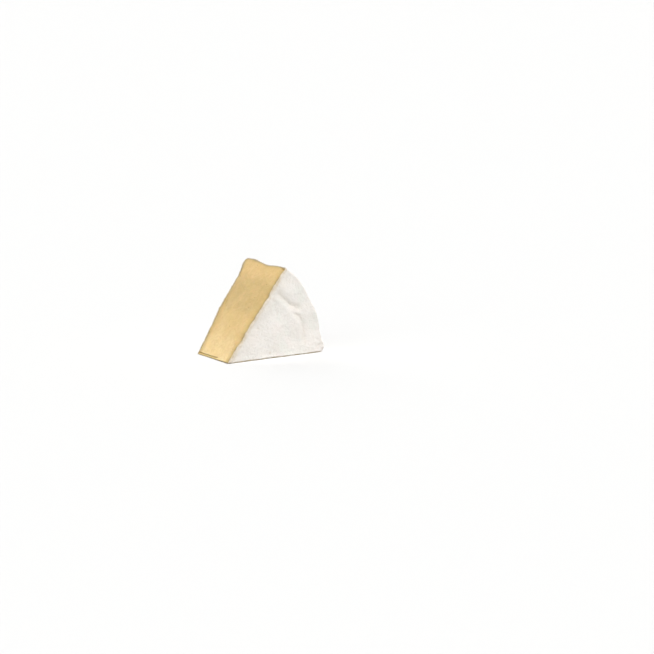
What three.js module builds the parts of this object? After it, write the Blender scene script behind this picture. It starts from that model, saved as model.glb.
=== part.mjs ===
// One wedge cut from a small round of soft-ripened cheese with a white bloomy rind, standing on a cut face.
// Millimetres, +Z up. X runs from the tip out to the rim, and Y through the thickness of the round, from its
// flat face at -Y to its soft-edged face at +Y. The lower cut face lies on Z = 0, and the origin is under
// the middle of the wedge's box.

import * as THREE from 'three';
import { mergeVertices } from 'three/addons/utils/BufferGeometryUtils.js';

// The round, and the slice taken from it
const roundRadius = 51.5;
const cutAngle = THREE.MathUtils.degToRad(53.6);

// Thickness at the tip, and at the rim beside each cut: the standing wedge has slumped wider towards its top
const tipThickness = 26.4;
const lowRimThickness = 30.4;
const highRimThickness = 33.2;

// Rounding where the side wall meets the flat face and the soft-edged face
const flatEdgeRadius = 0.8;
const softEdgeRadius = 3.2;

// The shallow waist that runs round the side wall, placed by its distance from the flat face
const waist = { depth: 0.9, centre: 14, width: 5.5 };

// Swells and dips of the outline along the rim: degrees up from the lower cut, height, and width in degrees
const rimSwells = [
  { angle: 43, height: 0.45, width: 6 },
  { angle: 30, height: -0.25, width: 4 },
  { angle: 11, height: -0.35, width: 4 },
  { angle: 3, height: 0.25, width: 3 },
];

// How far the soft paste bellies out of the upper cut: near the flat face's edge, and in the middle
const edgeBelly = { height: 0.9, along: 15, length: 11, across: 8 };
const faceBelly = 0.3;

// Folds in the rind. A path runs over a round face in millimetres from the tip, along the base and up.
// The hollow follows the path, and a lip stands up beside it on the right.
const foldLip = { offset: 2.6, width: 1.3 };
const foldSamples = 120;
const foldFade = 0.18;
const flatFaceFolds = [
  { path: [[25.4, 31.3], [28.4, 28.4], [33.8, 23.7], [41, 21.3]], lip: 0.12, hollow: 0.42, width: 1.8 },
  { path: [[33.6, 20.6], [38.4, 17.6], [40.7, 12], [41.1, 3.5]], lip: 0.08, hollow: 0.3, width: 1.3 },
  { path: [[5.5, 10.5], [3.9, 7], [3.2, 1]], lip: 0.1, hollow: 0.22, width: 1.2 },
];
const softFaceFolds = [
  { path: [[19, 20], [26, 18.5], [34, 20.5], [41, 26]], lip: 0.12, hollow: 0.42, width: 1.8 },
  { path: [[25, 3], [33, 7.5], [42, 8.5]], lip: 0.1, hollow: 0.36, width: 1.5 },
];

// The broad swell of the rind's surface
const swell = { height: 0.22, length: 13 };

// Steps across the slice each way, and through the thickness, closer together towards both faces
const sliceSteps = 32;
const thicknessSteps = 14;

const rindMaterial = new THREE.MeshStandardMaterial({ name: 'rind', color: 0xefece6, roughness: 0.9, metalness: 0 });
const pasteMaterial = new THREE.MeshStandardMaterial({ name: 'paste', color: 0xe6c98e, roughness: 0.5, metalness: 0 });

function bump(distance, width) {
  return Math.exp(-((distance / width) ** 2));
}

// The edge of a rounding: how far the wall stands back at this distance from the face
function edgeInset(distance, radius) {
  const reach = Math.max(radius - distance, 0);
  return radius - Math.sqrt(radius ** 2 - reach ** 2);
}

// A broad uneven swell with no repeat across the wedge
function broadSwell(x, z, phase) {
  const turn = (2 * Math.PI) / swell.length;
  const first = Math.sin(turn * (0.9 * x + 0.5 * z) + phase);
  const second = Math.sin(turn * (0.37 * x - 0.8 * z) + 2.1 * phase);
  return 0.5 * swell.height * (first + second);
}

// Gives a function of a place on a round face: the fold's height above the face there
function makeFold({ path, lip, hollow, width }) {
  const curve = new THREE.SplineCurve(path.map(([x, z]) => new THREE.Vector2(x, z)));
  const places = curve.getSpacedPoints(foldSamples);
  return (place) => {
    let nearest = 0;
    places.forEach((sample, i) => {
      if (sample.distanceTo(place) < places[nearest].distanceTo(place)) {
        nearest = i;
      }
    });
    const along = nearest / foldSamples;
    const away = place.clone().sub(places[nearest]);
    const side = Math.sign(curve.getTangentAt(along).cross(away)) * away.length();
    const fade = Math.min(along / foldFade, (1 - along) / foldFade, 1);
    const raised = lip * bump(side + foldLip.offset, foldLip.width);
    const sunk = hollow * bump(side, width);
    return THREE.MathUtils.smoothstep(fade, 0, 1) * (raised - sunk);
  };
}

const flatFolds = flatFaceFolds.map(makeFold);
const softFolds = softFaceFolds.map(makeFold);

// How far a round face stands out at a place on it: its folds and its swell, which fade out towards the tip
function faceRelief(x, z, folds, phase) {
  const place = new THREE.Vector2(x, z);
  const folded = folds.reduce((height, fold) => height + fold(place), 0);
  const grown = Math.min(place.length() / (0.3 * roundRadius), 1);
  return folded + grown * broadSwell(x, z, phase);
}

function rimRelief(angle, fromFlatFace) {
  const degrees = THREE.MathUtils.radToDeg(angle);
  const swells = rimSwells.reduce((sum, one) => sum + one.height * bump(degrees - one.angle, one.width), 0);
  return swells - waist.depth * bump(fromFlatFace - waist.centre, waist.width);
}

// Takes a point of the unit box to the wedge. The box's x and z both start at the tip edge: z = 0 is the
// lower cut, x = 0 the upper cut, and x = 1 and z = 1 together are the side wall. Its y is the thickness.
function toWedge(box) {
  const reach = Math.max(box.x, box.z);
  const turn = box.x >= box.z ? 0.5 * box.z / (box.x || 1) : 1 - 0.5 * box.x / box.z;
  const angle = turn * cutAngle;
  const rimThickness = THREE.MathUtils.lerp(lowRimThickness, highRimThickness, turn);
  const thickness = THREE.MathUtils.lerp(tipThickness, rimThickness, reach);
  const depth = 0.5 - 0.5 * Math.cos(Math.PI * box.y);
  const fromFlat = depth * thickness;
  const fromSoft = thickness - fromFlat;

  const inset = edgeInset(fromFlat, flatEdgeRadius) + edgeInset(fromSoft, softEdgeRadius);
  const rim = roundRadius + rimRelief(angle, fromFlat) - inset;
  const radius = reach * rim;
  let x = radius * Math.cos(angle);
  let z = radius * Math.sin(angle);

  const flatRelief = faceRelief(x, z, flatFolds, 0.7);
  const softRelief = faceRelief(x, z, softFolds, 3.9);
  const y = fromFlat - (1 - depth) * flatRelief + depth * softRelief;

  const belly = edgeBelly.height * bump(radius - edgeBelly.along, edgeBelly.length) * bump(fromFlat, edgeBelly.across);
  const middle = faceBelly * Math.sin(Math.PI * depth) * Math.sin(Math.PI * reach);
  const out = turn ** 4 * (belly + middle);
  x -= out * Math.sin(cutAngle);
  z += out * Math.cos(cutAngle);
  return new THREE.Vector3(x, y, z);
}

function wedgeGeometry() {
  const box = new THREE.BoxGeometry(1, 1, 1, sliceSteps, thicknessSteps, sliceSteps);
  box.translate(0.5, 0.5, 0.5);
  box.deleteAttribute('normal');
  box.deleteAttribute('uv');
  const geometry = mergeVertices(box);
  const points = geometry.attributes.position;
  const point = new THREE.Vector3();
  for (let i = 0; i < points.count; i += 1) {
    const placed = toWedge(point.fromBufferAttribute(points, i));
    points.setXYZ(i, placed.x, placed.y, placed.z);
  }

  geometry.computeBoundingBox();
  const middle = geometry.boundingBox.getCenter(new THREE.Vector3());
  geometry.translate(-middle.x, -middle.y, 0);
  geometry.computeVertexNormals();
  return geometry;
}

// The box's six sides in order: rim, upper cut, soft-edged face, flat face, rim, lower cut
const sides = [rindMaterial, pasteMaterial, rindMaterial, rindMaterial, rindMaterial, pasteMaterial];
const wedge = new THREE.Mesh(wedgeGeometry(), sides);
wedge.name = 'brie_wedge';

const model = new THREE.Group();
model.name = 'brie_wedge_model';
model.add(wedge);

export default model;
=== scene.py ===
import math
import random

import bpy
import numpy as np
from mathutils import Matrix, Vector, noise


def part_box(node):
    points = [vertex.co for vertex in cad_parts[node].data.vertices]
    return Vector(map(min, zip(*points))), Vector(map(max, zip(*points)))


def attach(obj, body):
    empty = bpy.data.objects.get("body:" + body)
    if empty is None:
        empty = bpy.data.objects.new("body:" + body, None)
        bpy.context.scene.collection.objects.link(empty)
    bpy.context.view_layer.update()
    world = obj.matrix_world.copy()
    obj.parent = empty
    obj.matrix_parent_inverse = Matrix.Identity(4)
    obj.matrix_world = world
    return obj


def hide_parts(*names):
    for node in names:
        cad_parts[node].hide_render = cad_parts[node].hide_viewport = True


# A wedge of soft-ripened cheese with a bloomy rind, standing on a cut face. All lengths below are metres.
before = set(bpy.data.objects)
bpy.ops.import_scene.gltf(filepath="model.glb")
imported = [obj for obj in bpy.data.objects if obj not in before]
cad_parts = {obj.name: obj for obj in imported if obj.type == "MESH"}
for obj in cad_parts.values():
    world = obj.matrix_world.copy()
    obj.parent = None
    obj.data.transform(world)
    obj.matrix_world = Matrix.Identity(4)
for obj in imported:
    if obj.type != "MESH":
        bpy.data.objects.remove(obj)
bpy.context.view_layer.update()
mm = 0.001
print("frame loaded")


# Small helpers

def deselectAll():
    if bpy.context.object and bpy.context.object.mode != "OBJECT":
        bpy.ops.object.mode_set(mode="OBJECT")
    bpy.ops.object.select_all(action="DESELECT")


def makeActive(piece):
    deselectAll()
    piece.select_set(True)
    bpy.context.view_layer.objects.active = piece


def applyModifiers(piece):
    makeActive(piece)
    for modifier in list(piece.modifiers):
        bpy.ops.object.modifier_apply(modifier=modifier.name)


def readPoints(piece):
    points = np.zeros(len(piece.data.vertices) * 3)
    piece.data.vertices.foreach_get("co", points)
    return points.reshape(-1, 3)


def writePoints(piece, points):
    piece.data.vertices.foreach_set("co", points.ravel())
    piece.data.update()


def keepValue(piece, name, values):
    piece.data.attributes.new(name, "FLOAT", "POINT").data.foreach_set("value", values)


def bump(distance, width):
    return np.exp(-((distance / width) ** 2))


def smoothStep(value, low, high):
    part = np.clip((value - low) / (high - low), 0, 1)
    return part * part * (3 - 2 * part)


# Noise at each point, about -0.7 to 0.7. size is the width of its features, and every use has a shift of its
# own, so that no two of them line up.
def cloud(points, size, shift, octaves=2):
    move = Vector((shift, shift, shift))
    return np.array([noise.fractal(Vector(p) / size + move, 0.9, 2.1, octaves) for p in points])


# The same along a line
def lineCloud(run, size, shift, octaves=2):
    return cloud(np.stack([run, 0 * run, 0 * run], 1), size, shift, octaves)


# How strong a mark is from place to place. patches holds its middle and how much it varies, then its least
# and its most.
def patchiness(points, size, shift, patches):
    middle, spread, least, most = patches
    return np.clip(middle + spread * cloud(points, size, shift), least, most)


# The form of the wedge, which both of its pieces share
form = {
    "roundRadius": 51.5 * mm,
    "cutAngle": math.radians(53.6),
    "tipThickness": 26.4 * mm,
    "lowRimThickness": 30.4 * mm,
    "highRimThickness": 33.2 * mm,
    "flatEdgeRadius": 0.8 * mm,
    "softEdgeRadius": 3.2 * mm,
    "waist": {"depth": 0.9 * mm, "centre": 14 * mm, "width": 5.5 * mm},
    # degrees up from the lower cut, height, width in degrees
    "rimSwells": [(43, 0.45 * mm, 6), (30, -0.25 * mm, 4), (11, -0.35 * mm, 4), (3, 0.25 * mm, 3)],
    "edgeBelly": {"height": 0.9 * mm, "along": 15 * mm, "length": 11 * mm, "across": 8 * mm},
    "faceBelly": 0.3 * mm,
    "swell": {"height": 0.22 * mm, "length": 13 * mm, "flatPhase": 0.7, "softPhase": 3.9},
    # unevenness that the rind and the paste under it share: height and feature size
    "uneven": [(0.15 * mm, 7 * mm), (0.07 * mm, 2.4 * mm)],
    # how the edges of the upper cut stand in from its plane: all along, and then in swells, each with its
    # place along the cut from the tip, its depth and its width in millimetres. A fine wander goes on top.
    "wear": {
        "flat": {"all": 0.35 * mm, "noiseShift": 4.4,
                 "swells": [(13, 0.8, 2.8), (18.5, 0.25, 2), (23.2, 0.5, 1.8),
                            (36, 0.55, 1.2), (41.3, -0.3, 1.5), (50, 0.45, 1.5)]},
        "soft": {"all": 0.0, "noiseShift": 7.3, "swells": [(41, 0.95, 8), (21, -0.42, 9)]},
        "reach": 1.6 * mm, "fade": (1.5 * mm, 6 * mm),
        "wander": 0.16 * mm, "wanderSize": 1.8 * mm, "wanderFade": (0.5 * mm, 2.5 * mm),
    },
    # the low corner of the flat face and the wall bulges, and rounds off at the surface that it stands on
    "lowCorner": {"reach": 6 * mm, "swells": [(3.4, 0.45 * mm, 2.2), (0, -0.5 * mm, 1.2)]},
    # the tip edge is blunt and stands a little off the surface
    "tipLift": 0.38 * mm, "tipReach": 1.2 * mm,
}
upAlongCut = np.array([math.cos(form["cutAngle"]), 0, math.sin(form["cutAngle"])])
outOfCut = np.array([-math.sin(form["cutAngle"]), 0, math.cos(form["cutAngle"])])

# Folds in the rind: each has a path over its round face from the tip, a hollow that follows it and a lip on
# its right. Paths, heights and widths are in millimetres.
folds = {
    "lipOffset": 2.6 * mm, "lipWidth": 1.3 * mm,
    "samples": 240,
    "fade": 0.18,                # the share of a path that it fades in over, and out
    "flat": [
        {"path": [(25.4, 31.3), (28.4, 28.4), (33.8, 23.7), (41, 21.3)],
         "lip": 0.12, "hollow": 0.42, "width": 1.8},
        {"path": [(33.6, 20.6), (38.4, 17.6), (40.7, 12), (41.1, 3.5)],
         "lip": 0.08, "hollow": 0.30, "width": 1.3},
        {"path": [(5.5, 10.5), (3.9, 7), (3.2, 1)], "lip": 0.1, "hollow": 0.22, "width": 1.2},
    ],
    "soft": [
        {"path": [(19, 20), (26, 18.5), (34, 20.5), (41, 26)], "lip": 0.12, "hollow": 0.42, "width": 1.8},
        {"path": [(25, 3), (33, 7.5), (42, 8.5)], "lip": 0.1, "hollow": 0.36, "width": 1.5},
    ],
}


# Even points along a smooth curve through the path's knots
def splinePoints(path, count):
    knots = np.array(path) * mm
    places = np.linspace(0, len(knots) - 1, 8 * count)
    dense = []
    for place in places:
        i = min(int(place), len(knots) - 2)
        t = place - i
        before, start = knots[max(i - 1, 0)], knots[i]
        end, after = knots[i + 1], knots[min(i + 2, len(knots) - 1)]
        pull, push = 0.5 * (end - before), 0.5 * (after - start)
        dense.append((2 * start - 2 * end + pull + push) * t ** 3
                     + (3 * end - 3 * start - 2 * pull - push) * t ** 2 + pull * t + start)
    dense = np.array(dense)
    run = np.concatenate([[0], np.cumsum(np.linalg.norm(np.diff(dense, axis=0), axis=1))])
    even = np.linspace(0, run[-1], count)
    return np.stack([np.interp(even, run, dense[:, k]) for k in (0, 1)], 1)


def foldHeight(x, z, fold):
    samples = splinePoints(fold["path"], folds["samples"])
    away = np.stack([x, z], 1)[:, None, :] - samples[None, :, :]
    distance = np.linalg.norm(away, axis=2)
    nearest = distance.argmin(axis=1)
    rows = np.arange(len(x))
    tangent = np.gradient(samples, axis=0)[nearest]
    offset = away[rows, nearest]
    side = np.sign(tangent[:, 0] * offset[:, 1] - tangent[:, 1] * offset[:, 0]) * distance[rows, nearest]
    along = nearest / (folds["samples"] - 1)
    fade = smoothStep(np.minimum(along, 1 - along), 0, folds["fade"])
    raised = fold["lip"] * bump(side + folds["lipOffset"], folds["lipWidth"])
    sunk = fold["hollow"] * bump(side, fold["width"] * mm)
    return fade * mm * (raised - sunk)


def foldRelief(x, z, side):
    return sum(foldHeight(x, z, fold) for fold in folds[side])


def broadSwell(x, z, phase):
    turn = 2 * math.pi / form["swell"]["length"]
    first = np.sin(turn * (0.9 * x + 0.5 * z) + phase)
    second = np.sin(turn * (0.37 * x - 0.8 * z) + 2.1 * phase)
    grown = np.minimum(np.hypot(x, z) / (0.3 * form["roundRadius"]), 1)
    return grown * 0.5 * form["swell"]["height"] * (first + second)


def unevenness(x, y, z):
    points = np.stack([x, y, z], 1)
    return sum(height * cloud(points, size, 1.7) for height, size in form["uneven"])


# How far a rounded edge stands back at this distance from the face
def edgeInset(distance, radius):
    reach = np.maximum(radius - distance, 0)
    return radius - np.sqrt(radius ** 2 - reach ** 2)


def edgeWear(radius, side):
    wear = form["wear"]
    edge = wear[side]
    swells = sum(depth * mm * bump(radius / mm - at, width) for at, depth, width in edge["swells"])
    worn = (edge["all"] + swells) * smoothStep(radius, *wear["fade"])
    wander = wear["wander"] * lineCloud(radius, wear["wanderSize"], edge["noiseShift"], 3)
    return worn + wander * smoothStep(radius, *wear["wanderFade"])


# Takes points of the unit box to the wedge, as the frame's solid has it. skin is how far the surface lies
# under the outside of the rind. Gives the places, and facts about each of them that the finishes use.
def toWedge(box, skin=0.0):
    a, w, b = box[:, 0], box[:, 1], box[:, 2]
    reach = np.maximum(a, b)
    turn = np.where(a >= b, 0.5 * b / np.where(a > 0, a, 1), 1 - 0.5 * a / np.where(b > 0, b, 1))
    angle = turn * form["cutAngle"]
    rimThickness = form["lowRimThickness"] + (form["highRimThickness"] - form["lowRimThickness"]) * turn
    thickness = form["tipThickness"] + (rimThickness - form["tipThickness"]) * reach
    depth = 0.5 - 0.5 * np.cos(math.pi * w)
    fromFlat = depth * thickness
    fromSoft = thickness - fromFlat

    degrees = np.degrees(angle)
    corner = form["lowCorner"]
    swells = sum(height * bump(degrees - at, width) for at, height, width in form["rimSwells"])
    cornerSwells = sum(height * bump(degrees - at, width) for at, height, width in corner["swells"])
    swells = swells + cornerSwells * bump(fromFlat, corner["reach"])
    waist = form["waist"]["depth"] * bump(fromFlat - form["waist"]["centre"], form["waist"]["width"])
    inset = edgeInset(fromFlat, form["flatEdgeRadius"]) + edgeInset(fromSoft, form["softEdgeRadius"])
    across, up = np.cos(angle), np.sin(angle)
    wall = unevenness(form["roundRadius"] * across, fromFlat, form["roundRadius"] * up)
    radius = reach * (form["roundRadius"] + swells - waist - inset - skin + wall)
    x = radius * across
    z = radius * up

    flatFolds, softFolds = foldRelief(x, z, "flat"), foldRelief(x, z, "soft")
    flatSwell, softSwell = (broadSwell(x, z, form["swell"][phase]) for phase in ("flatPhase", "softPhase"))
    flatRelief = flatFolds + flatSwell + unevenness(x, 0 * x, z) - skin
    softRelief = softFolds + softSwell + unevenness(x, 0 * x + form["tipThickness"], z) - skin
    y = fromFlat - (1 - depth) * flatRelief + depth * softRelief

    belly = form["edgeBelly"]
    edge = belly["height"] * bump(radius - belly["along"], belly["length"]) * bump(fromFlat, belly["across"])
    middle = form["faceBelly"] * np.sin(math.pi * depth) * np.sin(math.pi * reach)
    fromUpperCut = radius * np.sin(form["cutAngle"] - angle)
    out = turn ** 4 * (edge + middle)
    for nearness, side in ((fromFlat, "flat"), (fromSoft, "soft")):
        share = bump(nearness, form["wear"]["reach"]) * bump(fromUpperCut, form["wear"]["reach"])
        out = out - share * edgeWear(radius, side)
    x = x - out * math.sin(form["cutAngle"])
    z = z + out * math.cos(form["cutAngle"])
    z = z + form["tipLift"] * bump(radius, form["tipReach"])

    facts = {
        "degrees": degrees,
        "fromFace": np.minimum(fromFlat, fromSoft) + skin,
        "fromWall": form["roundRadius"] * (1 - reach) + skin,
        "through": depth,
        "fromFlat": fromFlat,
        "fromUpperCut": np.maximum(fromUpperCut, 0),
        "fromLowerCut": radius * up,
        "radius": radius,
        "hollow": np.maximum(-(1 - depth) ** 4 * flatFolds - depth ** 4 * softFolds, 0),
    }
    return np.stack([x, y, z], 1), facts


# Where the tip edge and the flat face stand in the frame: the solid's box is centred on the origin
solidLow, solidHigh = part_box("brie_wedge")
steps = np.linspace(0, 1, 33)
probe = np.stack(np.meshgrid(steps, steps, steps, indexing="ij"), -1).reshape(-1, 3)
lowestY = toWedge(probe)[0][:, 1].min()
tipPlace = Vector((solidLow.x, solidLow.y - lowestY, 0.0))
print("form set out")


# Cuts all edges that run along one axis into even steps
def cutEdges(piece, axis, cuts):
    bpy.ops.object.mode_set(mode="OBJECT")
    points = readPoints(piece)
    for edge in piece.data.edges:
        span = points[edge.vertices[1]] - points[edge.vertices[0]]
        edge.select = bool(abs(span[axis]) > 0.5 * np.linalg.norm(span))
    bpy.ops.object.mode_set(mode="EDIT")
    bpy.ops.mesh.subdivide(number_cuts=cuts)
    bpy.ops.mesh.select_all(action="DESELECT")


# A unit box in even steps, which toWedge draws out to the wedge
def steppedBox(name, cuts, openSides):
    deselectAll()
    bpy.ops.mesh.primitive_cube_add(size=1, location=(0.5, 0.5, 0.5))
    piece = bpy.context.object
    piece.name = piece.data.name = name
    bpy.ops.object.transform_apply(location=True, rotation=True, scale=True)
    bpy.ops.object.mode_set(mode="EDIT")
    bpy.ops.mesh.select_mode(type="EDGE")
    bpy.ops.mesh.select_all(action="DESELECT")
    for axis, rounds in enumerate(cuts):
        for number in rounds:
            cutEdges(piece, axis, number)
    if openSides:
        bpy.ops.mesh.select_mode(type="FACE")
        bpy.ops.object.mode_set(mode="OBJECT")
        for face in piece.data.polygons:
            face.select = any(face.normal.dot(Vector(side)) > 0.9 for side in openSides)
        bpy.ops.object.mode_set(mode="EDIT")
        bpy.ops.mesh.delete(type="FACE")
    bpy.ops.object.mode_set(mode="OBJECT")
    return piece


# Which sides of the unit box become the cuts
upperCutSide = (-1, 0, 0)
lowerCutSide = (0, 0, -1)


# Paste: the soft body, whose two cut faces show
paste = {
    # cuts each way across the slice and through its thickness, and more in each face of the upper cut
    "sliceCuts": (63,),
    "thicknessCuts": (39,),
    "upperCutCuts": 3,
    "underSkin": 0.31 * mm,      # its sides lie this far inside the rind
    # relief of the upper cut, from broad to fine, and the marks that the knife dragged up along it
    "dent": 0.14 * mm, "dentSize": 9 * mm,
    "pull": 0.06 * mm, "pullSize": 2.2 * mm,
    "crumb": 0.030 * mm, "crumbSize": 0.8 * mm,
    "drag": 0.012 * mm, "dragSize": 0.8 * mm, "dragStretch": 0.14,
    # a groove beside the rind: its depth, how far in from the face it runs, its width and its patchiness
    "groove": {"depth": 0.10 * mm, "fromFace": 0.6 * mm, "width": 0.4 * mm,
               "size": 3 * mm, "patches": (0.6, 0.6, 0, 2)},
    # small holes: radii in millimetres, and how near to the rind they come
    "holes": 15, "holeRadius": (0.15, 0.38), "holeDepth": 0.22 * mm, "holeMargin": 2 * mm,
    # a slit that the knife left: its place up the cut and back from the flat face, then its size
    "slit": {"along": 27.8 * mm, "back": 27.9 * mm,
             "length": 1.5 * mm, "width": 0.3 * mm, "depth": 0.3 * mm},
    # a crack across the cut, just over the tip edge: how far from the flat face it starts, over what share of
    # its length it opens, how far up the cut it runs at each end, its size, and how far the sliver under it
    # is pushed in
    "crack": {"from": 8.5 * mm, "opens": 0.2, "nearAlong": 1.15 * mm, "farAlong": 0.95 * mm,
              "width": 0.26 * mm, "depth": 0.45 * mm, "wander": 0.2 * mm, "wanderSize": 4 * mm,
              "pushedIn": 0.15 * mm},
    "smoothAngle": math.radians(40),
    "seed": 11,
}


# Gives how deep each point lies in the crack, 0 to 1, and whether it is on the sliver under it
def tipCrack(facts):
    crack = paste["crack"]
    part = (facts["fromFlat"] - crack["from"]) / (form["tipThickness"] - crack["from"])
    line = crack["nearAlong"] + (crack["farAlong"] - crack["nearAlong"]) * part
    line = line + crack["wander"] * lineCloud(facts["fromFlat"], crack["wanderSize"], 5.5)
    present = smoothStep(part, 0, crack["opens"])
    under = smoothStep(line - facts["radius"], -0.5 * crack["width"], 1.5 * crack["width"])
    return present * bump(facts["radius"] - line, crack["width"]), present * under


# Gives how deep each point lies in the holes: a larger one is deeper
def pasteHoles(places, facts, onUpperCut):
    draw = random.Random(paste["seed"])
    hole = np.zeros(len(places))
    inside = (facts["fromFace"] > paste["holeMargin"]) & (facts["fromWall"] > paste["holeMargin"])
    choice = np.flatnonzero(onUpperCut & inside)
    for number in range(paste["holes"]):
        centre = places[choice[draw.randrange(len(choice))]]
        radius = draw.uniform(*paste["holeRadius"]) * mm
        away = np.linalg.norm(places - centre, axis=1) / radius
        hole += (0.4 + radius / (0.6 * mm)) * np.exp(-(away ** 4))
    return hole


def knifeSlit(places):
    slit = paste["slit"]
    along = (places @ upAlongCut - slit["along"]) / slit["length"]
    back = (places[:, 1] - slit["back"]) / slit["width"]
    return np.exp(-(along ** 4) - back ** 2)


# How far the upper cut stands out of its plane
def cutRelief(places, facts):
    relief = paste["dent"] * cloud(places, paste["dentSize"], 3.1)
    relief += paste["pull"] * cloud(places, paste["pullSize"], 6.2)
    relief += paste["crumb"] * cloud(places, paste["crumbSize"], 2.6, 3)
    stretched = places @ upAlongCut[:, None] * paste["dragStretch"]
    across = np.concatenate([stretched, places[:, 1:2], 0 * stretched], 1)
    relief += paste["drag"] * cloud(across, paste["dragSize"], 8.4, 3)
    groove = paste["groove"]
    sunk = groove["depth"] * bump(facts["fromFace"] - groove["fromFace"], groove["width"])
    return relief - sunk * patchiness(places, groove["size"], 2.2, groove["patches"])


def makePaste():
    piece = steppedBox("paste", (paste["sliceCuts"], paste["thicknessCuts"], paste["sliceCuts"]), ())
    for face in piece.data.polygons:
        face.select = face.normal.dot(Vector(upperCutSide)) > 0.9
    bpy.ops.object.mode_set(mode="EDIT")
    bpy.ops.mesh.subdivide(number_cuts=paste["upperCutCuts"])
    bpy.ops.object.mode_set(mode="OBJECT")
    box = readPoints(piece)
    places, facts = toWedge(box, paste["underSkin"])
    onUpperCut = box[:, 0] < 1e-6

    hole = pasteHoles(places, facts, onUpperCut)
    slit = knifeSlit(places)
    crack, sliver = tipCrack(facts)
    lift = cutRelief(places, facts)
    lift -= paste["holeDepth"] * np.minimum(hole, 1.2)
    lift -= paste["slit"]["depth"] * slit
    lift -= paste["crack"]["depth"] * crack + paste["crack"]["pushedIn"] * sliver
    places = places + np.where(onUpperCut, lift, 0)[:, None] * outOfCut
    places[:, 2] = np.maximum(places[:, 2], 0)
    writePoints(piece, places + np.array(tipPlace))

    keepValue(piece, "fromFace", facts["fromFace"] / mm)
    keepValue(piece, "fromWall", facts["fromWall"] / mm)
    # where the finish paints shade in the holes, the slit and the crack
    keepValue(piece, "pit", np.where(onUpperCut, np.minimum(hole + slit + 1.5 * crack, 1), 0))
    # where the finish paints shade on the sliver under the crack
    keepValue(piece, "sliver", np.where(onUpperCut, sliver, 0))
    makeActive(piece)
    bpy.ops.object.shade_smooth_by_angle(angle=paste["smoothAngle"])
    print("paste made", len(piece.data.polygons))
    return piece


# Rind: a thin skin over both round faces and the side wall, with ragged cut edges
rind = {
    # cuts each way across the slice and through its thickness: a second number cuts each step again
    "sliceCuts": (31, 3),
    "thicknessCuts": (23, 3),
    "thickness": 0.42 * mm,
    "innerShare": 0.62,          # how much of the inner wall's mesh stays: it lies on the paste, unseen
    "fine": 0.05 * mm, "fineSize": 1.0 * mm,
    "nap": 0.022 * mm, "napSize": 0.5 * mm,
    # its cut edge stands a little proud of the paste, unevenly, and less so right at the tip
    "proud": 0.09 * mm, "leastProud": 0.3,       # the least is a share of it
    "ragged": 0.14 * mm, "raggedSize": 1.1 * mm, "raggedReach": 0.45 * mm, "raggedFade": (0.3 * mm, 2 * mm),
    # a lip along each cut, and the edge turned in beside it
    "lip": {"height": 0.20 * mm, "fromCut": 0.85 * mm, "width": 0.6 * mm,
            "size": 1.7 * mm, "patches": (0.35, 1.3, 0, 1.5)},
    "turnedIn": 0.16 * mm, "turnedInWidth": 0.3 * mm,
    # the lower edge stands off the surface: how far, how far up that reaches, and its patchiness
    "undercut": {"height": 0.20 * mm, "reach": 0.5 * mm, "size": 3 * mm, "patches": (1, 1.6, 0.15, 4)},
    # the most that it may stand out of the cut beside the tip, and where along X the limit gives way
    "tipProud": 0.28 * mm, "tipReach": (1 * mm, 3 * mm),
    "wallReach": 1.4 * mm,       # how far round its edges the marks of the side wall go
    # pleats across the side wall. Each line is its degrees up from the lower cut, its depth, and how far
    # through the wall it ends. The fades are shares of the way through, and the second starts from that end.
    "pleats": {
        "lines": [(9.5, 0.13 * mm, 0.62), (19.5, 0.20 * mm, 1.0),
                  (27.5, 0.09 * mm, 0.6), (41, 0.15 * mm, 0.64)],
        "width": 0.40 * mm, "wander": 0.7 * mm, "waves": 0.8, "wavePhase": 2.3,
        "fadeIn": (0.03, 0.2), "fadeOut": (-0.12, 0.01), "size": 5 * mm, "patches": (0.75, 0.9, 0.2, 1.3),
    },
    # the line that a mould leaves round the wall: how far through it runs, the step at it, which fades out
    # towards the soft edge, and its groove
    "band": {"through": 0.66, "wander": 0.02, "waves": 7, "wavePhase": 0.6,
             "step": 0.26 * mm, "stepWidth": 0.4 * mm, "stepFade": (0.75, 0.92),
             "groove": 0.22 * mm, "width": 0.5 * mm, "size": 4 * mm, "patches": (0.7, 0.6, 0, 2)},
    # small pits: radii in millimetres, the radius that gives the full depth, the most where they overlap, how
    # near to the edges of the faces they come, and the wall's stretch beside the soft edge
    "pits": {"count": 40, "radius": (0.25, 0.6), "depth": 0.15 * mm, "fullRadius": 0.5 * mm, "most": 1.2,
             "margin": 3 * mm, "softEdge": 0.9, "softEdgeReach": 0.08},
    # lumps at the low corner of the flat face and the wall
    "lumps": {"height": 0.42 * mm, "along": 50.5 * mm, "up": 3.5 * mm, "reach": 4.5 * mm,
              "fadeOut": (0.05, 0.4), "size": 2.4 * mm, "patches": (0.3, 1, 0, 2)},
    # thin lines over the faces, which fade in and out over a share of their length
    "lineSamples": 120, "lineFade": 0.2,
    # the crack beside the tip: path over the flat face in millimetres from the tip
    "crack": {"path": [(4.3, 9.0), (4.1, 6.1), (3.6, 3.8), (2.2, -1.2)],
              "depth": 0.15 * mm, "width": 0.40 * mm},
    # a thin crease in the bottom of each fold
    "foldCrease": {"depth": 0.11 * mm, "width": 0.40 * mm, "size": 4 * mm, "patches": (0.9, 1, 0.3, 1.4)},
    # the masks for the finish: the wall's beige, partly painted shade, and painted shade in creases and
    # lines. The wall's one fades in and out through the wall, and is stronger past the band's step. The
    # others are full where a fold, a groove or a line is this deep.
    "wallMask": {"reach": 1.2 * mm, "fadeIn": (0.02, 0.10), "fadeOut": (0.88, 0.98), "lostAtEnd": 0.5,
                 "beforeStep": 0.85, "stepAdds": 0.3},
    "fullFold": 0.5 * mm, "fullGroove": 0.2 * mm, "fullLine": 0.16 * mm,
    "smoothAngle": math.radians(50),
    "seed": 5,
}


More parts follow.
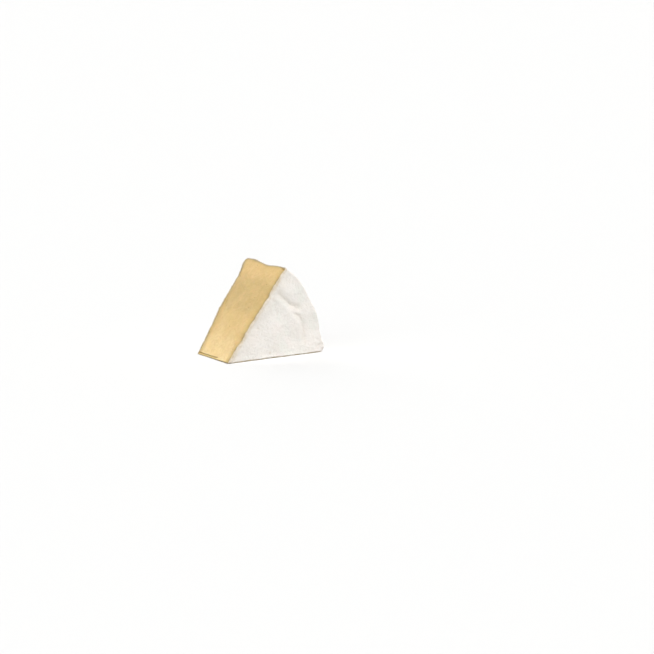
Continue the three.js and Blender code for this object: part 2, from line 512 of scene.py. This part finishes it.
def wallPleats(places, facts):
    pleats = rind["pleats"]
    through = facts["through"]
    groove = np.zeros(len(places))
    for number, (rise, depth, end) in enumerate(pleats["lines"]):
        wave = np.sin(2 * math.pi * through * pleats["waves"] + pleats["wavePhase"] * number)
        across = np.radians(facts["degrees"] - rise) * form["roundRadius"] + pleats["wander"] * wave
        ends = smoothStep(through, *pleats["fadeIn"]) * (1 - smoothStep(through - end, *pleats["fadeOut"]))
        groove += depth * ends * bump(across, pleats["width"])
    onWall = bump(facts["fromWall"], rind["wallReach"])
    return onWall * groove * patchiness(places, pleats["size"], 8.8, pleats["patches"])


# Gives the height of the step at the band, and the depth of its groove
def wallBand(places, facts):
    band = rind["band"]
    onWall = bump(facts["fromWall"], rind["wallReach"])
    wave = np.sin(np.radians(facts["degrees"]) * band["waves"] + band["wavePhase"])
    away = (facts["through"] - band["through"] - band["wander"] * wave) * form["lowRimThickness"]
    step = band["step"] * smoothStep(away, -band["stepWidth"], band["stepWidth"])
    step = step * (1 - smoothStep(facts["through"], *band["stepFade"]))
    groove = band["groove"] * bump(away, band["width"])
    return onWall * step, onWall * groove * patchiness(places, band["size"], 2.9, band["patches"])


# Small pits on the wall and the faces. Every third one is near the wall's soft edge.
def rindPits(places, facts):
    pits = rind["pits"]
    draw = random.Random(rind["seed"])
    depth = np.zeros(len(places))
    onWall = facts["fromWall"] < 0.01 * mm
    nearSoftEdge = onWall & (np.abs(facts["through"] - pits["softEdge"]) < pits["softEdgeReach"])
    fromEdges = np.minimum.reduce([facts["fromWall"], facts["fromUpperCut"], facts["fromLowerCut"]])
    somewhere = onWall | (fromEdges > pits["margin"])
    for number in range(pits["count"]):
        choice = np.flatnonzero(nearSoftEdge if number % 3 == 0 else somewhere)
        centre = places[choice[draw.randrange(len(choice))]]
        radius = draw.uniform(*pits["radius"]) * mm
        depth += radius / pits["fullRadius"] * bump(np.linalg.norm(places - centre, axis=1), radius)
    return np.minimum(depth, pits["most"])


# A thin line over a round face, which fades out at its ends
def faceLine(places, path, width, onFace):
    line = splinePoints(path, rind["lineSamples"])
    away = np.linalg.norm(places[:, None, [0, 2]] - line[None, :, :], axis=2)
    along = away.argmin(axis=1) / (rind["lineSamples"] - 1)
    ends = smoothStep(np.minimum(along, 1 - along), 0, rind["lineFade"])
    return ends * bump(away.min(axis=1), width) * onFace


def foldCreases(places, facts):
    crease = rind["foldCrease"]
    faces = {"flat": facts["through"] < 0.02, "soft": facts["through"] > 0.98}
    lines = [faceLine(places, fold["path"], crease["width"], faces[side])
             for side in faces for fold in folds[side]]
    return sum(lines) * patchiness(places, crease["size"], 1.3, crease["patches"])


def cornerLumps(places, facts):
    lumps = rind["lumps"]
    corner = np.hypot(places[:, 0] - lumps["along"], places[:, 2] - lumps["up"])
    present = bump(corner, lumps["reach"]) * (1 - smoothStep(facts["through"], *lumps["fadeOut"]))
    return lumps["height"] * present * patchiness(places, lumps["size"], 6.6, lumps["patches"])


# Moves the rind's cut edges out: the upper one off the cut, and the lower one up off the surface
def raggedEdges(places, facts, fromCut):
    ragged = rind["proud"] + rind["ragged"] * cloud(places, rind["raggedSize"], 12.3, 3)
    ragged = np.maximum(ragged, rind["leastProud"] * rind["proud"]) * bump(fromCut, rind["raggedReach"])
    ragged = ragged * smoothStep(facts["radius"], *rind["raggedFade"])
    atUpperCut = facts["fromUpperCut"] <= facts["fromLowerCut"]
    places = places + np.where(atUpperCut, ragged, 0)[:, None] * outOfCut
    undercut = rind["undercut"]
    lifted = undercut["height"] * patchiness(places, undercut["size"], 4.9, undercut["patches"])
    lifted = lifted * bump(facts["fromLowerCut"], undercut["reach"])
    places[:, 2] += np.where(atUpperCut, 0, ragged + lifted)
    return places


# Where the wall takes its beige tone, which is partly painted shade
def wallMask(facts, step):
    mask = rind["wallMask"]
    through = facts["through"]
    offEdges = smoothStep(through, *mask["fadeIn"])
    offEdges = offEdges * (1 - mask["lostAtEnd"] * smoothStep(through, *mask["fadeOut"]))
    deeperPastStep = mask["beforeStep"] + mask["stepAdds"] * smoothStep(step / rind["band"]["step"], 0.1, 0.9)
    return bump(facts["fromWall"], mask["reach"]) * offEdges * deeperPastStep


# Gives the skin its inner wall
def thickenRind(piece):
    inner = piece.vertex_groups.new(name="inner")
    skin = piece.modifiers.new("skin", "SOLIDIFY")
    skin.thickness = rind["thickness"]
    skin.offset = -1
    skin.use_rim = True
    skin.shell_vertex_group = inner.name
    coarse = piece.modifiers.new("coarse", "DECIMATE")
    coarse.vertex_group = inner.name
    coarse.ratio = rind["innerShare"]
    applyModifiers(piece)


# Keeps the rind beside the tip near the plane of the upper cut, and all of it on or above the surface
def trimRind(piece):
    points = readPoints(piece)
    limit = rind["tipProud"] + mm * smoothStep(points[:, 0] - tipPlace.x, *rind["tipReach"])
    past = (points - np.array(tipPlace)) @ outOfCut - limit
    points -= np.maximum(past, 0)[:, None] * outOfCut
    points[:, 2] = np.maximum(points[:, 2], 0)
    writePoints(piece, points)


def makeRind():
    cuts = (rind["sliceCuts"], rind["thicknessCuts"], rind["sliceCuts"])
    piece = steppedBox("rind", cuts, (upperCutSide, lowerCutSide))
    places, facts = toWedge(readPoints(piece))
    writePoints(piece, places)
    normals = np.zeros(len(places) * 3)
    piece.data.vertex_normals.foreach_get("vector", normals)
    normals = normals.reshape(-1, 3)

    fromCut = np.minimum(facts["fromUpperCut"], facts["fromLowerCut"])
    relief = rind["fine"] * cloud(places, rind["fineSize"], 5.2, 3)
    relief += rind["nap"] * cloud(places, rind["napSize"], 3.3)
    lip = rind["lip"]
    raised = lip["height"] * patchiness(places, lip["size"], 9.6, lip["patches"])
    relief += raised * bump(fromCut - lip["fromCut"], lip["width"])
    relief -= rind["turnedIn"] * bump(fromCut, rind["turnedInWidth"])

    pleats = wallPleats(places, facts)
    step, groove = wallBand(places, facts)
    pits = rindPits(places, facts)
    crack = faceLine(places, rind["crack"]["path"], rind["crack"]["width"], facts["through"] < 0.02)
    relief += cornerLumps(places, facts)
    relief += step - pleats - groove - rind["pits"]["depth"] * pits - rind["crack"]["depth"] * crack
    relief -= rind["foldCrease"]["depth"] * foldCreases(places, facts)
    places = raggedEdges(places + relief[:, None] * normals, facts, fromCut)
    writePoints(piece, places + np.array(tipPlace))

    # What the finish needs to know of each place: distances from the cuts in millimetres, and masks, for the
    # wall's beige and for painted shade in the creases and lines
    keepValue(piece, "fromUpper", facts["fromUpperCut"] / mm)
    keepValue(piece, "fromLower", facts["fromLowerCut"] / mm)
    keepValue(piece, "wall", wallMask(facts, step))
    hollow = facts["hollow"] / rind["fullFold"] + (pleats + groove) / rind["fullGroove"]
    keepValue(piece, "crease", np.minimum(hollow + 0.6 * pits + 0.5 * crack, 1))
    keepValue(piece, "line", np.minimum((pleats + groove) / rind["fullLine"] + 0.5 * pits, 1))

    thickenRind(piece)
    trimRind(piece)
    makeActive(piece)
    bpy.ops.object.shade_smooth_by_angle(angle=rind["smoothAngle"])
    print("rind made", len(piece.data.polygons))
    return piece


# Shader helpers

def addNode(tree, kind, **values):
    node = tree.nodes.new(kind)
    for name, value in values.items():
        if name in node.inputs:
            node.inputs[name].default_value = value
        else:
            setattr(node, name, value)
    return node


def newMaterial(name):
    material = bpy.data.materials.new(name)
    material.use_nodes = True
    tree = material.node_tree
    shader = tree.nodes["Principled BSDF"]
    return material, tree, shader


# Shared effect: soft mottling, 0 to 1, with features of a given size
def makeMottle():
    group = bpy.data.node_groups.new("softMottle", "ShaderNodeTree")
    group.interface.new_socket("Vector", in_out="INPUT", socket_type="NodeSocketVector")
    for name, value in (("Scale", 100.0), ("Detail", 3.0), ("Low", 0.4), ("High", 0.6)):
        group.interface.new_socket(name, in_out="INPUT", socket_type="NodeSocketFloat").default_value = value
    group.interface.new_socket("Mask", in_out="OUTPUT", socket_type="NodeSocketFloat")
    start = group.nodes.new("NodeGroupInput")
    end = group.nodes.new("NodeGroupOutput")
    grain = addNode(group, "ShaderNodeTexNoise")
    spread = addNode(group, "ShaderNodeMapRange", interpolation_type="SMOOTHSTEP")
    group.links.new(start.outputs["Vector"], grain.inputs["Vector"])
    group.links.new(start.outputs["Scale"], grain.inputs["Scale"])
    group.links.new(start.outputs["Detail"], grain.inputs["Detail"])
    group.links.new(grain.outputs["Fac"], spread.inputs["Value"])
    group.links.new(start.outputs["Low"], spread.inputs["From Min"])
    group.links.new(start.outputs["High"], spread.inputs["From Max"])
    group.links.new(spread.outputs["Result"], end.inputs["Mask"])
    return group


mottle = makeMottle()
evenSpread = (0.2, 0.8)          # a low and high that leave the mottle's whole range in


# A pattern is the mottle's scale in features per metre, its detail, and its low and high
def addMottle(tree, vector, pattern):
    node = tree.nodes.new("ShaderNodeGroup")
    node.node_tree = mottle
    for name, value in zip(("Scale", "Detail", "Low", "High"), pattern):
        node.inputs[name].default_value = value
    tree.links.new(vector, node.inputs["Vector"])
    return node.outputs["Mask"]


# A Mix node takes its two colours at sockets 6 and 7, and gives the mixed one at 2
def addMix(tree, amount, first, second):
    node = addNode(tree, "ShaderNodeMix", data_type="RGBA")
    tree.links.new(amount, node.inputs[0])
    for i, value in ((6, first), (7, second)):
        if isinstance(value, bpy.types.NodeSocket):
            tree.links.new(value, node.inputs[i])
        else:
            node.inputs[i].default_value = (*value, 1)
    return node.outputs[2]


def addMath(tree, operation, first, second):
    node = addNode(tree, "ShaderNodeMath", operation=operation)
    for i, value in enumerate((first, second)):
        if isinstance(value, bpy.types.NodeSocket):
            tree.links.new(value, node.inputs[i])
        else:
            node.inputs[i].default_value = value
    return node.outputs[0]


def addRange(tree, value, low, high, first=0.0, last=1.0):
    node = addNode(tree, "ShaderNodeMapRange", interpolation_type="SMOOTHSTEP")
    tree.links.new(value, node.inputs["Value"])
    node.inputs["From Min"].default_value = low
    node.inputs["From Max"].default_value = high
    node.inputs["To Min"].default_value = first
    node.inputs["To Max"].default_value = last
    return node.outputs["Result"]


# Bumps laid one over the other: features per metre, detail, height, strength
def addBumps(tree, place, bumps):
    normal = None
    for scale, detail, height, strength in bumps:
        node = addNode(tree, "ShaderNodeBump", Distance=height, Strength=strength)
        tree.links.new(addMottle(tree, place, (scale, detail, *evenSpread)), node.inputs["Height"])
        if normal is not None:
            tree.links.new(normal, node.inputs["Normal"])
        normal = node.outputs["Normal"]
    return normal


def readValue(tree, name):
    return addNode(tree, "ShaderNodeAttribute", attribute_name=name).outputs["Fac"]


# A value pushed up and down by a mottle, so that a border made from it wanders
def addWobble(tree, value, place, scale, amount):
    shift = addMath(tree, "SUBTRACT", addMottle(tree, place, (scale, 3.0, *evenSpread)), 0.5)
    return addMath(tree, "ADD", value, addMath(tree, "MULTIPLY", shift, amount))


# Lays a tone over the colour where the mask says
def addTone(tree, colour, mask, strength, tone):
    return addMix(tree, addMath(tree, "MULTIPLY", mask, strength), colour, tone)


def addLayer(tree, colour, place, layer, look):
    tone, strength, pattern = layer
    return addTone(tree, colour, addMottle(tree, place, pattern), strength, look[tone])


# Lays a tone over the colour that is strongest at one distance and gone at another
def addFade(tree, colour, distance, fade, look):
    tone, full, gone, strength = fade
    return addMix(tree, addRange(tree, distance, full, gone, strength, 0.0), colour, look[tone])


# The shader's values that are the same all over the surface
def setShader(shader, values):
    for name, value in values.items():
        shader.inputs[name].default_value = value


# Tones, and how they lie. A pattern is as addMottle takes it. A layer is a tone, its strength and a pattern.
# A fade is a tone, the distances where it is strongest and where it is gone, and its strength.
pasteLook = {
    "gold": (0.715, 0.507, 0.222),
    # painted shade, laid through the middle of the cut
    "paintedShade": (0.600, 0.434, 0.188),
    # a paler tone for the streaks and clots, and painted bounce light near the tip
    "bright": (0.880, 0.665, 0.338),
    # riper paste beside the rind, and painted shade on the sliver under the crack
    "ripeAndShade": (0.560, 0.400, 0.170),
    "blush": (0.760, 0.500, 0.250),
    "rindLine": (0.400, 0.295, 0.145),
    # painted shade in the holes, the slit and the crack
    "slit": (0.400, 0.270, 0.120),
    # distances from the tip along the cut, in metres, which wobble: features per metre, and how far. The
    # bright fade near the tip is painted bounce light, and the dull stretch through the middle is painted
    # shade.
    "paintedBounceLight": ("bright", 4 * mm, 21 * mm, 1.0),
    "dullStart": 20 * mm, "dullFull": 31 * mm, "dullHold": 38 * mm, "dullEnd": 48 * mm,
    "alongWobble": (90, 9 * mm),
    "streakStretch": (0.40, 1, 0.6),
    "streaks": ("bright", 0.12, (300, 4.0, 0.35, 0.75)),
    "clots": ("bright", 0.12, (260, 4.0, 0.4, 0.65)),
    "blushes": ("blush", 0.3, (330, 3.0, 0.5, 0.68)),
    "grains": (800, 5.0, 0.35, 0.7), "grainTone": 0.20,
    # distances from the faces and the wall in millimetres, which wobble as well
    "edgeWobble": (260, 0.5),
    "ripeByFace": ("ripeAndShade", 0.5, 4.2, 0.85),
    "ripeByWall": ("ripeAndShade", 0.4, 2.0, 0.35),
    "lineByWall": ("rindLine", 0.25, 1.1, 0.5),
    "lineByFace": (0.6, 1.7, 0.95), "lineBreaks": (240, 3.0, 0.35, 0.6), "lineLeast": 0.45,
    # painted shade on the sliver under the crack
    "sliverPaintedShade": 0.7,
    # painted shade in the holes, the slit and the crack, from where they start
    "pitPaintedShade": 0.7, "pitStart": 0.25,
    "roughness": (0.56, 0.74),
    "shader": {"Subsurface Weight": 0.35, "Subsurface Radius": (1.0, 0.55, 0.2),
               "Subsurface Scale": 2.0 * mm, "Specular IOR Level": 0.28},
    "bumps": [(1600, 4.0, 0.05 * mm, 0.5), (500, 3.0, 0.08 * mm, 0.35)],
}


def pasteMaterial():
    material, tree, shader = newMaterial("cheesePaste")
    look = pasteLook
    place = addNode(tree, "ShaderNodeTexCoord").outputs["Object"]

    # Turned so that X runs up the cut from the tip
    turned = addNode(tree, "ShaderNodeMapping", vector_type="TEXTURE")
    turned.inputs["Location"].default_value = tipPlace
    turned.inputs["Rotation"].default_value = (0, -form["cutAngle"], 0)
    tree.links.new(place, turned.inputs["Vector"])
    stretch = addNode(tree, "ShaderNodeMapping")
    stretch.inputs["Scale"].default_value = look["streakStretch"]
    tree.links.new(turned.outputs["Vector"], stretch.inputs["Vector"])
    split = addNode(tree, "ShaderNodeSeparateXYZ")
    tree.links.new(turned.outputs["Vector"], split.inputs[0])
    along = addWobble(tree, split.outputs["X"], place, *look["alongWobble"])

    # Painted shade through the middle of the cut, then painted bounce light near the tip
    paintedShade = addMath(tree, "MULTIPLY", addRange(tree, along, look["dullStart"], look["dullFull"]),
                   addRange(tree, along, look["dullHold"], look["dullEnd"], 1.0, 0.0))
    colour = addMix(tree, paintedShade, look["gold"], look["paintedShade"])
    colour = addFade(tree, colour, along, look["paintedBounceLight"], look)
    colour = addLayer(tree, colour, stretch.outputs["Vector"], look["streaks"], look)
    colour = addLayer(tree, colour, place, look["clots"], look)
    colour = addLayer(tree, colour, place, look["blushes"], look)
    grains = addMottle(tree, place, look["grains"])
    colour = addTone(tree, colour, grains, look["grainTone"], look["ripeAndShade"])

    # Riper beside the rind, with a thin dark line where they meet, weaker along the side wall
    fromFace = addWobble(tree, readValue(tree, "fromFace"), place, *look["edgeWobble"])
    fromWall = addWobble(tree, readValue(tree, "fromWall"), place, *look["edgeWobble"])
    colour = addFade(tree, colour, fromFace, look["ripeByFace"], look)
    colour = addFade(tree, colour, fromWall, look["ripeByWall"], look)
    full, gone, strength = look["lineByFace"]
    broken = addRange(tree, addMottle(tree, place, look["lineBreaks"]), 0.0, 1.0, look["lineLeast"], 1.0)
    line = addMath(tree, "MULTIPLY", addRange(tree, fromFace, full, gone, strength, 0.0), broken)
    colour = addMix(tree, line, colour, look["rindLine"])
    colour = addFade(tree, colour, fromWall, look["lineByWall"], look)
    # Painted shade on the sliver under the crack
    colour = addTone(tree, colour, readValue(tree, "sliver"), look["sliverPaintedShade"], look["ripeAndShade"])
    # Painted shade in the holes, the slit and the crack
    pit = addRange(tree, readValue(tree, "pit"), look["pitStart"], 1.0, 0.0, look["pitPaintedShade"])
    colour = addMix(tree, pit, colour, look["slit"])
    tree.links.new(colour, shader.inputs["Base Color"])

    tree.links.new(addRange(tree, grains, 0.0, 1.0, *look["roughness"]), shader.inputs["Roughness"])
    setShader(shader, look["shader"])
    tree.links.new(addBumps(tree, place, look["bumps"]), shader.inputs["Normal"])
    return material


# Its layers and fades are laid out as the paste's are
rindLook = {
    "white": (0.785, 0.752, 0.707),
    "warm": (0.790, 0.738, 0.695),
    "cool": (0.755, 0.750, 0.695),
    "shaded": (0.735, 0.692, 0.632),   # painted shade near the upper cut, and the bloom's darker flecks
    "beige": (0.690, 0.600, 0.465),    # the side wall: its own beige, partly painted shade
    "cream": (0.625, 0.525, 0.390),
    "tan": (0.520, 0.415, 0.245),
    # painted shade in the hollows of the folds, pleats, grooves, pits and the crack
    "crease": (0.640, 0.575, 0.480),
    "warmPatches": (120, 3.0, 0.42, 0.7),
    "coolPatches": ("cool", 0.8, (160, 3.0, 0.48, 0.72)),
    # the wall's beige, partly its own tone and partly painted shade, in cloudy patches
    "wallBeigeAndShade": 0.85, "wallTonePatches": (95, 4.0, 0.22, 0.55),
    # distances from the cuts in millimetres, which wobble: features per metre, and how far
    "upperWobble": (330, 1.1), "lowerWobble": (330, 0.8),
    # the first fade is painted shade towards the upper cut
    "byUpper": [("shaded", 1.0, 9.0, 0.9), ("cream", 0.3, 2.4, 0.75), ("tan", 0.05, 0.6, 0.65)],
    "byLower": ("cream", 0.0, 0.7, 0.6),
    "bloom": ("shaded", 0.3, (800, 4.0, 0.35, 0.7)),
    "specks": ("cream", 0.35, (520, 5.0, 0.67, 0.74)),
    # painted shade in the creases
    "creasePaintedShade": 0.35,
    # painted shade along the pleats, the band's groove and the pits
    "linePaintedShade": 0.45, "lineStart": 0.3,
    "shader": {"Roughness": 0.9, "Sheen Weight": 0.2, "Sheen Roughness": 0.6, "Specular IOR Level": 0.2,
               "Subsurface Weight": 0.08, "Subsurface Radius": (1.0, 0.8, 0.6), "Subsurface Scale": 0.6 * mm},
    "bumps": [(3200, 4.0, 0.06 * mm, 0.6), (1000, 4.0, 0.14 * mm, 0.55)],
}


def rindMaterial():
    material, tree, shader = newMaterial("bloomyRind")
    look = rindLook
    place = addNode(tree, "ShaderNodeTexCoord").outputs["Object"]
    colour = addMix(tree, addMottle(tree, place, look["warmPatches"]), look["white"], look["warm"])
    colour = addLayer(tree, colour, place, look["coolPatches"], look)

    # The wall takes a beige tone in cloudy patches: partly the rind's own tone, partly painted shade
    wall = addMath(tree, "MULTIPLY", readValue(tree, "wall"), addMottle(tree, place, look["wallTonePatches"]))
    colour = addTone(tree, colour, wall, look["wallBeigeAndShade"], look["beige"])

    # Painted shade, then cream, then tan towards the upper cut, and only a little cream along the lower one
    fromUpper = addWobble(tree, readValue(tree, "fromUpper"), place, *look["upperWobble"])
    fromLower = addWobble(tree, readValue(tree, "fromLower"), place, *look["lowerWobble"])
    for fade in look["byUpper"]:
        colour = addFade(tree, colour, fromUpper, fade, look)
    colour = addLayer(tree, colour, place, look["bloom"], look)
    colour = addFade(tree, colour, fromLower, look["byLower"], look)

    # Painted shade in the hollows of the folds, pleats, grooves, pits and the crack
    colour = addTone(tree, colour, readValue(tree, "crease"), look["creasePaintedShade"], look["crease"])
    # Painted shade along the pleats, the band's groove and the pits
    line = addRange(tree, readValue(tree, "line"), look["lineStart"], 1.0, 0.0, look["linePaintedShade"])
    colour = addMix(tree, line, colour, look["cream"])
    colour = addLayer(tree, colour, place, look["specks"], look)
    tree.links.new(colour, shader.inputs["Base Color"])
    setShader(shader, look["shader"])
    tree.links.new(addBumps(tree, place, look["bumps"]), shader.inputs["Normal"])
    return material


pastePiece = makePaste()
pastePiece.data.materials.append(pasteMaterial())
rindPiece = makeRind()
rindPiece.data.materials.append(rindMaterial())
for piece, slotName in ((pastePiece, "paste"), (rindPiece, "rind")):
    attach(piece, "root")
    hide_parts("brie_wedge")
print("wedge dressed")


# Floor, lights and camera
studio = {
    "floorRadius": 12.0,
    "floorShader": {"Base Color": (0.70, 0.70, 0.695, 1), "Roughness": 0.9, "Specular IOR Level": 0.0},
    # the air: bright at the horizon, so that it meets the floor with no line, and dim overhead
    "horizon": (1.0, 1.0, 1.0),
    "overhead": (0.09, 0.09, 0.092),
    "bandLow": 0.05,
    "bandTop": 0.20,
    # name, azimuth, elevation, share of full light on a face turned to it, softness in degrees
    "lights": [
        ("key", 20, 66, 1.12, 16),
        ("left", -70, 30, 0.24, 50),
        ("back", 165, 30, 0.35, 60),
    ],
}


# The way from the wedge to what stands at this azimuth and elevation
def wayTo(azimuth, elevation):
    level = math.cos(elevation)
    return Vector((math.sin(azimuth) * level, -math.cos(azimuth) * level, math.sin(elevation)))


def makeStudio():
    deselectAll()
    bpy.ops.mesh.primitive_circle_add(vertices=96, radius=studio["floorRadius"], fill_type="NGON")
    floor = bpy.context.object
    floor.name = "floor"
    material, tree, shader = newMaterial("paleFloor")
    setShader(shader, studio["floorShader"])
    floor.data.materials.append(material)

    world = bpy.data.worlds.new("studioAir")
    world.use_nodes = True
    tree = world.node_tree
    split = addNode(tree, "ShaderNodeSeparateXYZ")
    tree.links.new(addNode(tree, "ShaderNodeTexCoord").outputs["Generated"], split.inputs[0])
    rise = addRange(tree, split.outputs["Z"], studio["bandLow"], studio["bandTop"])
    air = addMix(tree, rise, studio["horizon"], studio["overhead"])
    tree.links.new(air, tree.nodes["Background"].inputs["Color"])
    bpy.context.scene.world = world

    for name, azimuth, elevation, share, softness in studio["lights"]:
        back = wayTo(math.radians(azimuth), math.radians(elevation))
        bpy.ops.object.light_add(type="SUN", location=back)
        light = bpy.context.object
        light.name = name
        light.rotation_euler = back.to_track_quat("Z", "Y").to_euler()
        light.data.energy = math.pi * share
        light.data.angle = math.radians(softness)
    print("studio lit")


view = {
    "frame": 654,                # the photograph's side in pixels
    "sensor": 36.0,
    "lens": 165.0,
    "azimuth": math.radians(-34.44),
    "elevation": math.radians(11.2),
    "roll": math.radians(0.4),
    "tipPixel": (228.4, 364.1),  # where the near end of the tip edge stands in the picture
    "distance": 26.27 * form["roundRadius"],
}


def makeCamera():
    azimuth, roll = view["azimuth"], view["roll"]
    back = wayTo(azimuth, view["elevation"])
    level = Vector((math.cos(azimuth), math.sin(azimuth), 0))
    upright = back.cross(level)
    right = math.cos(roll) * level + math.sin(roll) * upright
    up = -math.sin(roll) * level + math.cos(roll) * upright
    focal = view["lens"] / view["sensor"] * view["frame"]
    acrossPixels = view["tipPixel"][0] - view["frame"] / 2
    downPixels = view["tipPixel"][1] - view["frame"] / 2
    sight = -back + acrossPixels / focal * right - downPixels / focal * up
    deselectAll()
    bpy.ops.object.camera_add()
    camera = bpy.context.object
    camera.data.lens = view["lens"]
    camera.data.sensor_width = view["sensor"]
    turned = Matrix((right, up, back)).transposed().to_4x4()
    camera.matrix_world = Matrix.Translation(tipPlace - view["distance"] * sight) @ turned
    bpy.context.scene.camera = camera


makeStudio()
makeCamera()
bpy.context.scene.view_settings.view_transform = "Standard"
